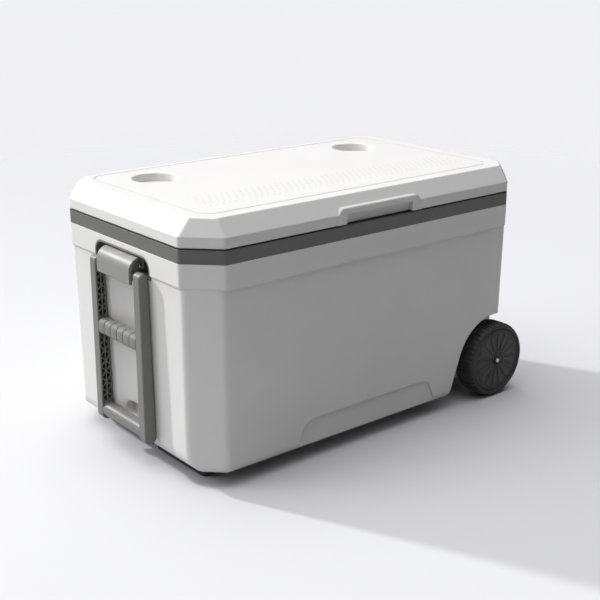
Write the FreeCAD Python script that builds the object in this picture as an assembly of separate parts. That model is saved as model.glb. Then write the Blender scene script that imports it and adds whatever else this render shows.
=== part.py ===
import FreeCAD, Part
import math
import os
from FreeCAD import Placement, Rotation, Vector

# A wheeled hard cooler: foam-filled tub, hinged lid, tow handle on the -X end, two wheels at the +X end.
# Millimetres. +Z up, floor at z = 0, X along the length, -Y is the front, +Y the hinge side.

# ---- overall ----
LENGTH = 760.0         # lid and rim, along X
DEPTH = 455.0          # lid and rim, along Y
HALF_X, HALF_Y = LENGTH / 2, DEPTH / 2
CORNER_LEG = 53.5      # leg of the flat cut across each corner
CORNER_ROUND = 9.0     # rounding where the cut meets the walls
WALL = 3.0             # moulded wall of shell, liner, lid and rim
FIT_GAP = 0.3          # between separate pieces that only lie near each other
RUN_FIT = 0.05         # radial clearance of a running fit
FAR = 1000.0           # reach of cutting blocks

# ---- shell ----
UNDERSIDE = 26.0       # floor to the bottom of the shell
SHELL_H = 324.7        # bottom of the shell to the top of its step
COLLAR_H = 39.8        # upright band between the step and the rim
RIM_H = 23.1           # dark rim band
DRAFT = 0.5            # degrees, shell walls below the step
STEP_IN = 3.5          # depth of the step
STEP_H = 3.0           # height over which the step slopes
BOTTOM_ROUND = 16.0
END_ROUND = 34.0       # larger round under the two ends
SHELL_LEG = 48.0       # corner cut below the step
SHELL_ROUND = 16.0     # and its rounding
TONGUE_DROP = 7.0      # rim band's tongue inside the shell's top edge
TONGUE_GAP = 0.2
STEP_Z = UNDERSIDE + SHELL_H
RIM_FOOT = STEP_Z + COLLAR_H
RIM_TOP = RIM_FOOT + RIM_H

# ---- liner ----
LINER_WALL_X = 52.0    # rim outline to liner, at the ends
LINER_WALL_Y = 51.5    # rim outline to liner, front and back
LINER_FLOOR = UNDERSIDE + 64.0
LINER_ROUND = 40.0
LINER_LOW_ROUND = 12.0
LINER_DRAFT = 1.2
FLANGE_W = 14.0
WELL_FOAM = 22.0       # least foam round a wheel well
BULGE_ROUND = 10.0

# ---- lid ----
SEAM = 2.8             # open seam between rim and lid
LID_EDGE = 17.5        # upright edge of the lid
LID_BEVEL = 28.2       # height of the sloped band above it
BEVEL_INSET = 21.5     # how far the slope leans in
TOP_LEG = 31.3         # corner cut at the lid's top outline
TOP_ROUND = 2.5
FOOT_ROUND = 1.2
LID_FOOT = RIM_TOP + SEAM
BEVEL_FOOT = LID_FOOT + LID_EDGE
LID_TOP = BEVEL_FOOT + LID_BEVEL
CUP_R = 43.0
CUP_DEPTH = 15.0
CUP_LIP = 1.5
CUP_X = HALF_X - 142.0
CUP_Y = HALF_Y - 117.5
GRIP_TOP = 11.0        # height of the grip above the lid's upright edge
GRIP_HALF_TOP = 87.0
GRIP_HALF_FOOT = 98.0
GRIP_PROUD = 1.0
RECESS_HALF = 79.0     # finger recess under the grip
RECESS_H = 17.0
RECESS_DEPTH = 9.0
GROOVE_W = 2.0
GROOVE_DEPTH = 1.0
GROOVE_END_INSET = 27.5   # from the top outline
GROOVE_FRONT_INSET = 25.5
GROOVE_BACK_INSET = 16.0
GROOVE_LEG = 19.0
PLUG_INSET = 5.0       # liner wall to the lid's plug
PLUG_FOOT = RIM_TOP - 9.2
PLUG_ROUND = 5.0
GASKET_W = 12.0
GASKET_OUT = 16.0      # gasket outer edge, in from the lid outline

# ---- front and back panels of the shell ----
PANEL_DEPTH = 3.0
PANEL_TOP = UNDERSIDE + 53.0
PANEL_HALF = 131.0     # half length along its top edge
PANEL_X = -10.5
PANEL_FOOT = 170.0     # half length at its foot
PANEL_KNEE = 8.0       # height of the short slope at its top corners

# ---- wheels ----
WHEEL_R = 76.0
WHEEL_X = HALF_X - 58.0
WHEEL_W = 46.0
WHEEL_FACE = HALF_Y + 3.0   # outer face of the tyre, from the middle
WHEEL_IN = WHEEL_FACE - WHEEL_W
HUB_R = WHEEL_R - 14.0
HUB_RIM = 7.0
HUB_BOSS_R = 13.0
HUB_WEB = 5.0
HUB_RECESS = 4.5       # web below the outer face
HUB_INSET = 2.5        # hub's faces, in from the tyre's
RIB_COUNT = 18
RIB_T = 2.4
AXLE_R = 4.5
AXLE_END = WHEEL_FACE + 2.5
BUSH_WALL = 2.5
BUSH_R = AXLE_R + RUN_FIT + BUSH_WALL
PUSH_NUT_R = AXLE_R + 3.5
PUSH_NUT_T = 1.2
SPACER_R = AXLE_R + 3.5
ARCH_R = WHEEL_R + 20.0     # wheel arch
ARCH_X = WHEEL_X - 7.5
ARCH_LIP_R = 12.0      # rounding of the arch's lower lip
ARCH_LIP_X = ARCH_X - ARCH_R - 30.5
WELL_DEEP = WHEEL_IN - 24.5    # inner wall of the well, from the middle
CLAMP_L = 40.0
CLAMP_PLATE = 3.0
CLAMP_AT = WELL_DEEP - 50.0
CLAMP_HALF_X = 24.0

# ---- feet ----
FOOT_X = -(HALF_X - 47.5)
FOOT_W = 40.0
FOOT_NEAR = 8.0
FOOT_FAR = HALF_Y - 50.5
FOOT_FLANGE = 14.0     # foot left above its screw heads

# ---- pocket in the -X end, with the carry hood ----
POCKET_HALF = 88.0
POCKET_TOP = RIM_FOOT - 11.0
POCKET_FOOT = POCKET_TOP - 38.5
POCKET_BACK = -(HALF_X - 28.0)
POCKET_ROUND = 22.0
POCKET_LOW_ROUND = 6.0
BRACKET_T = 3.0
HOOD_HALF = 52.5
HOOD_FRONT = -(HALF_X + 18.0)
HOOD_TOP = POCKET_TOP - 5.5
HOOD_FOOT = HOOD_TOP - 44.0
HOOD_T = 5.5
HOOD_BEND = 22.0
HOOD_NECK = -(HALF_X - 2.0)    # the hood narrows to its stem behind this
STEM_HALF = 40.0
WEB_IN = 44.0
WEB_T = 5.0
WEB_FOOT = HOOD_FOOT + 6.0

# ---- tow handle ----
PIVOT_X = -(HALF_X + 7.75)
PIVOT_Z = HOOD_TOP - 29.15
LUG_R = 8.75
ARM_FOOT_R = 11.5
ARM_FOOT_X = -(HALF_X + 6.5)
ARM_FOOT_Z = UNDERSIDE + 35.0
ARM_IN = WEB_IN + WEB_T + 13.0  # inner face of each arm
ARM_W = 19.0
ARM_OUT = ARM_IN + ARM_W
ARM_SKIN = 2.6         # walls of the arm's open channel
ARM_CHANNEL = 14.0
LATTICE_T = 1.8
LATTICE_PITCH = 20.0
END_BLOCK = 3.0        # solid arm left round each bar
MID_Z = PIVOT_Z - 116.85
MID_H = 28.0
MID_FRONT = -(HALF_X + 17.3)
MID_BACK = MID_FRONT + 19.8
MID_SEGMENTS = 6
MID_GROOVE = 1.2
END_Z = ARM_FOOT_Z + 7.5
END_H = 25.0
END_FRONT = -(HALF_X + 17.6)
END_BACK = END_FRONT + 22.0
TENON = 10.0           # bars run this far into the arms
TENON_HALF = 6.0
PIN_R = 3.5
PIN_COLLAR_R = PIN_R + 2.5
PIN_BLIND = 5.0        # arm left outside the pin's end
CLIP_WALL = 1.0
CLIP_T = 1.5

# ---- hollow in the end wall behind the tow handle ----
CHANNEL_R = 110.0
CHANNEL_HALF = 52.0
CHANNEL_FOOT = ARM_FOOT_Z - 3.0
NOTCH_HALF = 30.0
NOTCH_LOW, NOTCH_HIGH = END_Z - 4.5, END_Z + 24.5
NOTCH_DEEP = 12.0

# ---- hinges ----
HINGE_X = 190.0
HINGE_HALF = 35.0
HINGE_Y, HINGE_Z = HALF_Y, RIM_TOP + SEAM / 2
KNUCKLE_R = 5.5
KNUCKLE_MID = 17.5
HINGE_PIN_R = 2.5
LEAF_T = 3.0
LEAF_FOOT = RIM_TOP - 45.6
LEAF_ON_BEVEL = 14.0
LEAF_ROUND = 8.0
POCKET_END = 1.0       # room past each end of the knuckles
POST = 3.0             # solid plastic left round a hinge pocket
POST_H = 9.0
LID_POST_TOP = BEVEL_FOOT - 1.0

# ---- fasteners ----
SCREW_R = 2.0
SCREW_L = 12.0
SHORT_SCREW_L = 8.0
LONG_SCREW_L = 24.0
HEAD_R = 4.0
HEAD_H = 2.2
SCREW_EDGE = 9.5       # screw to the edge of the plate that it holds

# ---- drain ----
DRAIN_BORE = 8.0
DRAIN_R = DRAIN_BORE + 3.0
NUT_WALL = 4.0
NUT_T = 6.0
DRAIN_Z = LINER_FLOOR + LINER_LOW_ROUND + DRAIN_R + NUT_WALL
DRAIN_FLANGE_R = DRAIN_R + 6.0
DRAIN_FLANGE_T = 3.0
DRAIN_COLLAR = 4.0     # spout left proud of its flange
DRAIN_BOSS_X = HALF_X - 4.5
PLUG_R = DRAIN_R + 3.0
PLUG_T = 5.0
PLUG_STEM = 26.0
SEAL_W = 4.0
SEAL_T = 2.5

CUT_TRIM = 2 - math.sqrt(2)   # a corner cut's leg shrinks by this share of an inset

PARTS = {}


# ---------------------------------------------------------------- helpers
def rounded_wire(points, radius):
    """Closed wire through flat points, each corner rounded. radius is one number or one per point."""
    count = len(points)
    radii = radius if isinstance(radius, (list, tuple)) else [radius] * count
    arcs = []
    for i, corner in enumerate(points):
        before = (points[i - 1] - corner).normalize()
        after = (points[(i + 1) % count] - corner).normalize()
        half = before.getAngle(after) / 2
        reach = radii[i] / math.tan(half)
        middle = (before + after).normalize() * (radii[i] / math.sin(half) - radii[i])
        arcs.append((corner + before * reach, corner + middle, corner + after * reach))
    edges = []
    for i, (start, middle, end) in enumerate(arcs):
        if radii[i] > 0:
            edges.append(Part.Arc(start, middle, end).toShape())
        following = arcs[(i + 1) % count][0]
        if (following - end).Length > 1e-6:
            edges.append(Part.LineSegment(end, following).toShape())
    return Part.Wire(edges)


def cut_rectangle(half_x, half_y, leg, z, radius=CORNER_ROUND, shift_y=0.0):
    """Rectangle with its four corners cut off at 45 degrees, all eight corners rounded."""
    x, y = half_x, half_y
    flat = [(x, y - leg), (x - leg, y), (leg - x, y), (-x, y - leg),
            (-x, leg - y), (leg - x, -y), (x - leg, -y), (x, leg - y)]
    return rounded_wire([Vector(px, py + shift_y, z) for px, py in flat], radius)


def inset_outline(inset, z, radius=None):
    """The rim's outline moved inwards by inset, at height z."""
    turn = max(CORNER_ROUND - inset, 1.0) if radius is None else radius
    return cut_rectangle(HALF_X - inset, HALF_Y - inset, CORNER_LEG - inset * CUT_TRIM, z, turn)


def rectangle(half_x, half_y, z, radius):
    corners = [(half_x, half_y), (-half_x, half_y), (-half_x, -half_y), (half_x, -half_y)]
    return rounded_wire([Vector(x, y, z) for x, y in corners], radius)


def prism(wire, along):
    return Part.Face(wire).extrude(along)


def box(low, high):
    low, high = Vector(*low), Vector(*high)
    size = high - low
    return Part.makeBox(size.x, size.y, size.z, low)


def tube(radius, start, end, bore=0.0):
    """Cylinder from start to end, with a bore if one is given."""
    start, end = Vector(*start), Vector(*end)
    along = end - start
    solid = Part.makeCylinder(radius, along.Length, start, along)
    return solid.cut(Part.makeCylinder(bore, along.Length, start, along)) if bore else solid


def join(shapes):
    """One clean solid from shapes that overlap or touch."""
    first, rest = shapes[0], list(shapes[1:])
    return first.multiFuse(rest).removeSplitter() if rest else first


def both_sides(shape):
    """The shape and its mirror image across the XZ plane."""
    return [shape, shape.mirror(Vector(0, 0, 0), Vector(0, 1, 0))]


def moved(shape, x=0.0, y=0.0, z=0.0):
    copy = shape.copy()
    copy.translate(Vector(x, y, z))
    return copy


def add(name, shape):
    PARTS[name] = shape


def add_pair(name, front):
    """A piece on the -Y side and its mirror image on the +Y side."""
    first, second = both_sides(front)
    add(name + "_front", first)
    add(name + "_rear", second)


def screw(point, outward, length=SCREW_L):
    """Pan-head screw with its head seated at point."""
    point, outward = Vector(*point), Vector(*outward)
    head = Part.makeCylinder(HEAD_R, HEAD_H, point, outward)
    head = head.makeFillet(HEAD_H * 0.6, [e for e in head.Edges if is_far_rim(e, point, outward, HEAD_H)])
    drive = Part.makeCylinder(HEAD_R * 0.4, HEAD_H, point + outward * (HEAD_H * 0.5), outward)
    shank = Part.makeCylinder(SCREW_R, length, point - outward * length, outward)
    return head.fuse(shank).cut(drive).removeSplitter()


def is_far_rim(edge, point, outward, height):
    middle = edge.CenterOfMass - point
    return isinstance(edge.Curve, Part.Circle) and abs(middle.dot(outward) - height) < 1e-3


def screw_hole(point, outward, length=SCREW_L, slack=0.0):
    point, outward = Vector(*point), Vector(*outward)
    tip = point - outward * (length + slack)
    return Part.makeCylinder(SCREW_R + slack, length + 2 * HEAD_H, tip, outward)


def holes_for(points, outward, length=SCREW_L, slack=0.0):
    return [screw_hole(point, outward, length, slack) for point in points]


def screws_at(points, outward, length=SCREW_L):
    return Part.makeCompound([screw(point, outward, length) for point in points])


def level_edges(shape, z):
    """Edges that lie flat at height z."""
    return [e for e in shape.Edges if abs(e.BoundBox.ZMin - z) < 1e-3 and abs(e.BoundBox.ZMax - z) < 1e-3]


# ---------------------------------------------------------------- shell
def shell_half(z, half):
    """Half size of the shell at height z, below its step."""
    return half - STEP_IN - (STEP_Z - STEP_H - z) * math.tan(math.radians(DRAFT))


def frustum(low_half, top_half, low, top, turn=0.0):
    """Rectangular block with four flat leaning sides, between two heights."""
    (x0, y0), (x1, y1) = low_half, top_half
    block = Part.makeWedge(-x0, 0, -y0, -y1, -x1, x0, top - low, y0, y1, x1)
    block.rotate(Vector(0, 0, 0), Vector(1, 0, 0), 90)
    block.rotate(Vector(0, 0, 0), Vector(0, 0, 1), turn)
    return moved(block, z=low)


def leaning_block(half_low, half_top, leg, low, top):
    """Frustum with its corners cut off flat; every face is a plane."""
    corner_low = (sum(half_low) - leg) / math.sqrt(2)
    corner_top = (sum(half_top) - leg) / math.sqrt(2)
    corners = frustum((corner_low, corner_low), (corner_top, corner_top), low, top, 45)
    return frustum(half_low, half_top, low, top).common(corners)


def shell_block(gap):
    """The shell's outer form, moved inwards by gap. It runs past the top when gap is given."""
    low, top = UNDERSIDE + gap, RIM_FOOT + (HALF_Y if gap else 0.0)
    low_leg, leg = SHELL_LEG - gap * CUT_TRIM, CORNER_LEG - gap * CUT_TRIM
    turn = max(CORNER_ROUND - gap, 1.0)

    def halves(z):
        return shell_half(z, HALF_X) - gap, shell_half(z, HALF_Y) - gap

    lower = leaning_block(halves(low), halves(STEP_Z), low_leg, low, STEP_Z)
    low_turn = SHELL_ROUND - gap
    lower = lower.makeFillet(low_turn, [e for e in lower.Edges if e.BoundBox.ZLength > 1])
    lower = lower.makeFillet(BOTTOM_ROUND - gap, level_edges(lower, low))
    ends = frustum((halves(low)[0], FAR), (halves(STEP_Z)[0], FAR), low, STEP_Z)
    edges = [e for e in level_edges(ends, low) if e.BoundBox.YLength > FAR]
    lower = lower.common(ends.makeFillet(END_ROUND - gap, edges))
    step = STEP_Z - STEP_H
    under = 0.2
    tuck_x, tuck_y = [half - under * STEP_IN for half in halves(step)]
    tuck = cut_rectangle(tuck_x, tuck_y, low_leg, step - under * STEP_H, low_turn)
    wide = cut_rectangle(HALF_X - gap, HALF_Y - gap, leg, STEP_Z, turn)
    slope = Part.makeLoft([tuck, wide], True, True)
    return join([lower, slope, prism(wide, Vector(0, 0, top - STEP_Z))])


def arch_wire(gap, y):
    """Side view of the wheel arch: a leaning lower lip, a round over the wheel, open at the end."""
    lip = Vector(ARCH_LIP_X, 0, UNDERSIDE + ARCH_LIP_R)
    hub = Vector(ARCH_X, 0, WHEEL_R)
    lip_r, arch_r = ARCH_LIP_R - gap, ARCH_R + gap
    apart = (hub - lip).Length
    turn = math.atan2(hub.z - lip.z, hub.x - lip.x) - math.acos((lip_r + arch_r) / apart)

    def at(centre, radius, angle):
        return Vector(centre.x + radius * math.cos(angle), y, centre.z + radius * math.sin(angle))

    bottom = at(lip, lip_r, -math.pi / 2)
    lip_end = at(lip, lip_r, turn)
    arch_start = at(hub, arch_r, turn + math.pi)
    top = at(hub, arch_r, math.pi / 2)
    points = [top, Vector(FAR, y, top.z), Vector(FAR, y, -FAR), Vector(bottom.x, y, -FAR), bottom]
    edges = [Part.LineSegment(a, b).toShape() for a, b in zip(points[:-1], points[1:])]
    edges.append(Part.Arc(bottom, at(lip, lip_r, (turn - math.pi / 2) / 2), lip_end).toShape())
    edges.append(Part.LineSegment(lip_end, arch_start).toShape())
    edges.append(Part.Arc(arch_start, at(hub, arch_r, (turn + math.pi * 1.5) / 2), top).toShape())
    return Part.Wire(Part.__sortEdges__(edges))


def wheel_wells(gap):
    front = prism(arch_wire(gap, -FAR), Vector(0, FAR - WELL_DEEP + gap, 0))
    return both_sides(front)


def axle_groove(gap):
    """Slot across the underside that the axle lies in, round at its top."""
    half = AXLE_R + RUN_FIT + gap
    reach = WELL_DEEP + 1.0
    slot = box((WHEEL_X - half, -reach, -FAR), (WHEEL_X + half, reach, WHEEL_R))
    return slot.fuse(tube(half, (WHEEL_X, -reach, WHEEL_R), (WHEEL_X, reach, WHEEL_R)))


def end_hollow(gap):
    """Concave channel behind the tow handle, with a deeper finger notch behind its end bar."""
    wall = -(HALF_X - STEP_IN)
    middle = wall - math.sqrt(CHANNEL_R ** 2 - CHANNEL_HALF ** 2)
    channel = tube(CHANNEL_R + gap, (middle, 0, CHANNEL_FOOT - gap), (middle, 0, POCKET_FOOT + 5.0))
    deep = middle + CHANNEL_R + NOTCH_DEEP + gap
    low, high, half = NOTCH_LOW - gap, NOTCH_HIGH + gap, NOTCH_HALF + gap
    outline = rounded_wire([Vector(-FAR, -half, low), Vector(-FAR, half, low),
                            Vector(-FAR, half, high), Vector(-FAR, -half, high)], (high - low) / 2 - 1.0)
    return [channel, prism(outline, Vector(FAR + deep, 0, 0))]


def pocket_block(gap, front=-FAR):
    """The recess in the end wall that the handle bracket lines."""
    half, low, high = POCKET_HALF + gap, POCKET_FOOT - gap, POCKET_TOP + gap
    outline = rounded_wire([Vector(front, -half, low), Vector(front, half, low),
                            Vector(front, half, high), Vector(front, -half, high)],
                           [POCKET_LOW_ROUND] * 2 + [POCKET_ROUND + gap] * 2)
    return prism(outline, Vector(POCKET_BACK + gap - front, 0, 0))


def side_panels(gap):
    """Shallow recess low on the front wall, and the same on the back wall."""
    knee, foot, turn = PANEL_TOP - PANEL_KNEE, UNDERSIDE - 20.0, 5.0
    side = [(PANEL_FOOT + 8.0, foot), (PANEL_HALF + 20.0, knee), (PANEL_HALF + 4.0, PANEL_TOP)]
    points = side + [(-x, z) for x, z in reversed(side)]
    wire = rounded_wire([Vector(PANEL_X + x, -FAR, z) for x, z in points], [0] + [turn] * 4 + [0])
    wire = wire.makeOffset2D(gap) if gap else wire
    deep = shell_half(UNDERSIDE, HALF_Y) - PANEL_DEPTH - gap
    return both_sides(prism(wire, Vector(0, FAR - deep, 0)))


def shell_core(gap):
    """The shell's form with all its recesses, moved inwards by gap."""
    cuts = wheel_wells(gap) + [axle_groove(gap)] + end_hollow(gap) + side_panels(gap)
    cuts.append(pocket_block(gap + FIT_GAP))
    return shell_block(gap).cut(cuts)


def hood_screw_points():
    low, high, across = POCKET_FOOT + 11.0, POCKET_FOOT + 22.0, STEM_HALF - 14.0
    return [(POCKET_BACK - BRACKET_T - HOOD_T, y, z) for y in (-across, across) for z in (low, high)]


def hinge_centres():
    return (-HINGE_X, HINGE_X)


def leaf_screws_at(heights):
    """Seats on the hinge leaves' outer face, near both ends of each leaf."""
    across = HINGE_HALF - SCREW_EDGE
    places = [x + side * across for x in hinge_centres() for side in (-1, 1)]
    return [(x, HINGE_Y + LEAF_T, z) for x in places for z in heights]


def body_leaf_screws():
    return leaf_screws_at([LEAF_FOOT + SCREW_EDGE, RIM_FOOT + SCREW_EDGE])


def lid_leaf_screws():
    return leaf_screws_at([BEVEL_FOOT - 6.0])


def foot_screw_points():
    inset = 22.0
    return [(FOOT_X + FOOT_W / 2, side * y, UNDERSIDE - FOOT_FLANGE)
            for side in (-1, 1) for y in (FOOT_NEAR + inset, FOOT_FAR - inset)]


def clamp_screw_points():
    across = CLAMP_HALF_X - SCREW_EDGE
    return [(WHEEL_X + dx, side * CLAMP_AT, UNDERSIDE - CLAMP_PLATE)
            for side in (-1, 1) for dx in (-across, across)]


def shell_screw_holes(slack):
    """Holes for every screw that bites into the shell."""
    holes = holes_for(body_leaf_screws(), (0, 1, 0), slack=slack)
    holes += holes_for(hood_screw_points(), (-1, 0, 0), slack=slack)
    holes += holes_for(foot_screw_points(), (0, 0, -1), LONG_SCREW_L, slack)
    return holes + holes_for(clamp_screw_points(), (0, 0, -1), slack=slack)


def drain_passage(radius):
    return tube(radius, (HALF_X - LINER_WALL_X - 30.0, 0, DRAIN_Z), (FAR, 0, DRAIN_Z))


def body_shell():
    boss = tube(DRAIN_FLANGE_R + 3.0, (HALF_X - 20.0, 0, DRAIN_Z), (DRAIN_BOSS_X, 0, DRAIN_Z))
    hollow = shell_core(WALL)
    shell = join([shell_core(0.0).cut(hollow), boss.cut(hollow)])
    return shell.cut(shell_screw_holes(0.0) + [drain_passage(DRAIN_R)])


# ---------------------------------------------------------------- liner and foam
def liner_block(gap):
    """The liner's outer form, moved inwards by gap, with bulges over the wheel wells."""
    lean = math.tan(math.radians(LINER_DRAFT)) * (RIM_TOP - LINER_FLOOR)
    half_x, half_y = HALF_X - LINER_WALL_X - gap, HALF_Y - LINER_WALL_Y - gap
    low = LINER_FLOOR + gap
    turn = LINER_ROUND - gap
    block = Part.makeLoft([rectangle(half_x - lean, half_y - lean, low, turn),
                           rectangle(half_x, half_y, RIM_TOP, turn)], True, True)
    block = block.makeFillet(LINER_LOW_ROUND - gap, level_edges(block, low))
    reach = WALL + WELL_FOAM + gap
    side = box((ARCH_X - ARCH_R - reach, -FAR, 0), (FAR, -WELL_DEEP + reach, WHEEL_R + ARCH_R + reach))
    side = side.makeFillet(BULGE_ROUND + gap, [e for e in side.Edges if on_bulge_edge(e, reach)])
    return block.cut(both_sides(side))


def on_bulge_edge(edge, reach):
    """The three edges of a bulge block that show inside the liner."""
    box_of = edge.BoundBox
    left, inner, top = ARCH_X - ARCH_R - reach, -WELL_DEEP + reach, WHEEL_R + ARCH_R + reach
    on_left = abs(box_of.XMin - left) < 1e-3 and abs(box_of.XMax - left) < 1e-3
    on_inner = abs(box_of.YMin - inner) < 1e-3 and abs(box_of.YMax - inner) < 1e-3
    on_top = abs(box_of.ZMin - top) < 1e-3 and abs(box_of.ZMax - top) < 1e-3
    return on_left + on_inner + on_top == 2


def liner_flange(gap):
    top = RIM_TOP - WALL - FIT_GAP
    half_x, half_y = HALF_X - LINER_WALL_X + FLANGE_W, HALF_Y - LINER_WALL_Y + FLANGE_W
    plate = rectangle(half_x + gap, half_y + gap, top - WALL - gap, LINER_ROUND + FLANGE_W)
    return prism(plate, Vector(0, 0, WALL + 2 * gap))


def below(shape, z):
    return shape.common(box((-FAR, -FAR, -FAR), (FAR, FAR, z)))


def body_liner():
    outer = below(liner_block(0.0), RIM_TOP - WALL - FIT_GAP)
    liner = join([outer, liner_flange(0.0)]).cut(liner_block(WALL))
    return liner.cut(drain_passage(DRAIN_R))


def rim_tongue(gap):
    """Ring under the rim band that drops inside the shell's top edge."""
    low, up = RIM_FOOT - TONGUE_DROP - gap, Vector(0, 0, RIM_H - WALL + TONGUE_DROP + gap)
    outside, inside = WALL + TONGUE_GAP - gap, 2 * WALL + TONGUE_GAP + gap
    return prism(inset_outline(outside, low), up).cut(prism(inset_outline(inside, low), up))


def hinge_posts(low, high, gap):
    """Solid blocks behind the hinge pockets."""
    half, inner = HINGE_HALF + POCKET_END + POST + gap, HINGE_Y - KNUCKLE_R - FIT_GAP - POST - gap
    return [box((x - half, inner, low), (x + half, HINGE_Y - 0.5 * WALL, high)) for x in hinge_centres()]


def hinge_pockets():
    """Room for the knuckles in rim and lid."""
    half, reach = HINGE_HALF + POCKET_END, KNUCKLE_R + FIT_GAP
    return [box((x - half, HINGE_Y - reach, HINGE_Z - reach), (x + half, FAR, HINGE_Z + reach))
            for x in hinge_centres()]


def rim_band():
    """Channel-shaped band with a top flange; its tongue and hinge posts are moulded on."""
    outer = prism(inset_outline(0.0, RIM_FOOT), Vector(0, 0, RIM_H))
    skin = outer.cut(prism(inset_outline(WALL, RIM_FOOT), Vector(0, 0, RIM_H - WALL)))
    band = join([skin, rim_tongue(0.0)] + hinge_posts(RIM_TOP - POST_H, RIM_TOP, 0.0))
    mouth = prism(rectangle(HALF_X - LINER_WALL_X - WALL, HALF_Y - LINER_WALL_Y - WALL, RIM_FOOT,
                            LINER_ROUND - WALL), Vector(0, 0, FAR))
    return band.cut([mouth] + hinge_pockets() + holes_for(body_leaf_screws(), (0, 1, 0)))


def body_foam():
    block = below(shell_core(WALL + FIT_GAP), RIM_TOP - 3 * WALL)
    cuts = [liner_block(-FIT_GAP), liner_flange(FIT_GAP), rim_tongue(FIT_GAP)]
    cuts += [drain_passage(DRAIN_R + FIT_GAP)] + hinge_posts(RIM_TOP - POST_H - FIT_GAP, RIM_TOP, FIT_GAP)
    return block.cut(cuts + shell_screw_holes(FIT_GAP))


# ---------------------------------------------------------------- lid
def lid_block(gap):
    """The lid's outer form, moved inwards by gap and open below when gap is given."""
    low = LID_FOOT - (1.0 if gap else 0.0)
    turn = max(CORNER_ROUND - gap, 1.5)

    def outline(inset, leg, z):
        return cut_rectangle(HALF_X - inset - gap, HALF_Y - inset - gap, leg - gap * CUT_TRIM, z, turn)

    edge = prism(outline(0.0, CORNER_LEG, low), Vector(0, 0, BEVEL_FOOT - low))
    slope = Part.makeLoft([outline(0.0, CORNER_LEG, BEVEL_FOOT),
                           outline(BEVEL_INSET, TOP_LEG, LID_TOP - gap)], True, True)
    block = join([edge, slope])
    if gap:
        return block
    block = block.makeFillet(TOP_ROUND, level_edges(block, LID_TOP))
    return block.makeFillet(FOOT_ROUND, level_edges(block, LID_FOOT))


def lid_grip():
    """Wedge on the front slope that the fingers pull on."""
    front, back, top = -HALF_Y - GRIP_PROUD, -HALF_Y + 40.0, BEVEL_FOOT + GRIP_TOP
    side = rounded_wire([Vector(-FAR, front, LID_FOOT), Vector(-FAR, back, LID_FOOT),
                         Vector(-FAR, back, top + 2.0), Vector(-FAR, front, top)], [0, 0, 0, 3.0])
    right = [(GRIP_HALF_TOP, top), (GRIP_HALF_FOOT, BEVEL_FOOT - 2.0), (GRIP_HALF_FOOT, LID_FOOT)]
    points = [(-x, z) for x, z in reversed(right)] + right
    face = rounded_wire([Vector(x, -FAR, z) for x, z in points], [0, 5.0, 6.0, 6.0, 5.0, 0])
    return prism(side, Vector(2 * FAR, 0, 0)).common(prism(face, Vector(0, FAR, 0)))


def finger_recess(gap):
    front, deep = -FAR, -HALF_Y - GRIP_PROUD + RECESS_DEPTH + gap
    half, top = RECESS_HALF + gap, LID_FOOT + RECESS_H + gap
    face = rounded_wire([Vector(-half, front, 0), Vector(-half + 2.0, front, top),
                         Vector(half - 2.0, front, top), Vector(half, front, 0)], [0, 4.0, 4.0, 0])
    return prism(face, Vector(0, deep - front, 0))


def cups(radius, depth):
    return [tube(radius, (x, CUP_Y, LID_TOP - depth), (x, CUP_Y, LID_TOP)) for x in (-CUP_X, CUP_X)]


def top_groove():
    """Fine groove round the lid's top, near its edge."""
    front = HALF_Y - BEVEL_INSET - GROOVE_FRONT_INSET
    back = HALF_Y - BEVEL_INSET - GROOVE_BACK_INSET
    half_x, half_y = HALF_X - BEVEL_INSET - GROOVE_END_INSET, (front + back) / 2
    low, shift = LID_TOP - GROOVE_DEPTH, (back - front) / 2

    def loop(inset):
        leg, turn = GROOVE_LEG - inset * CUT_TRIM, 4.0 - inset / 2
        wire = cut_rectangle(half_x - inset, half_y - inset, leg, low, turn, shift)
        return prism(wire, Vector(0, 0, 2 * GROOVE_DEPTH))

    return loop(0.0).cut(loop(GROOVE_W))


def lid_shell():
    outer = join([lid_block(0.0), lid_grip()]).cut(finger_recess(0.0))
    hollow = lid_block(WALL).cut([finger_recess(WALL)])
    shell = join([outer.cut(hollow)] + cups(CUP_R + WALL, CUP_DEPTH + WALL)
                 + hinge_posts(LID_FOOT, LID_POST_TOP, 0.0))
    screws = holes_for(lid_leaf_screws(), (0, 1, 0), SHORT_SCREW_L)
    shell = shell.cut(cups(CUP_R, CUP_DEPTH) + [top_groove()] + hinge_pockets() + screws)
    return shell.makeFillet(CUP_LIP, [e for e in level_edges(shell, LID_TOP) if is_cup_rim(e)])


def is_cup_rim(edge):
    return isinstance(edge.Curve, Part.Circle) and abs(edge.Curve.Radius - CUP_R) < 1e-3


def plug_block(gap, low, high):
    half_x = HALF_X - LINER_WALL_X - WALL - PLUG_INSET - gap
    half_y = HALF_Y - LINER_WALL_Y - WALL - PLUG_INSET - gap
    return prism(rectangle(half_x, half_y, low, LINER_ROUND - WALL - gap), Vector(0, 0, high - low))


def lid_liner():
    """White inner pan: a flat flange and a shallow plug that drops into the mouth."""
    inset = WALL + FIT_GAP
    flange = prism(inset_outline(inset, LID_FOOT), Vector(0, 0, WALL))
    plug = plug_block(0.0, PLUG_FOOT, LID_FOOT + WALL)
    plug = plug.makeFillet(PLUG_ROUND, level_edges(plug, PLUG_FOOT))
    pan = join([flange, plug]).cut(plug_block(WALL, PLUG_FOOT + WALL, LID_TOP))
    return pan.cut([finger_recess(WALL + FIT_GAP)] + hinge_posts(0, LID_TOP, FIT_GAP))


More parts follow.
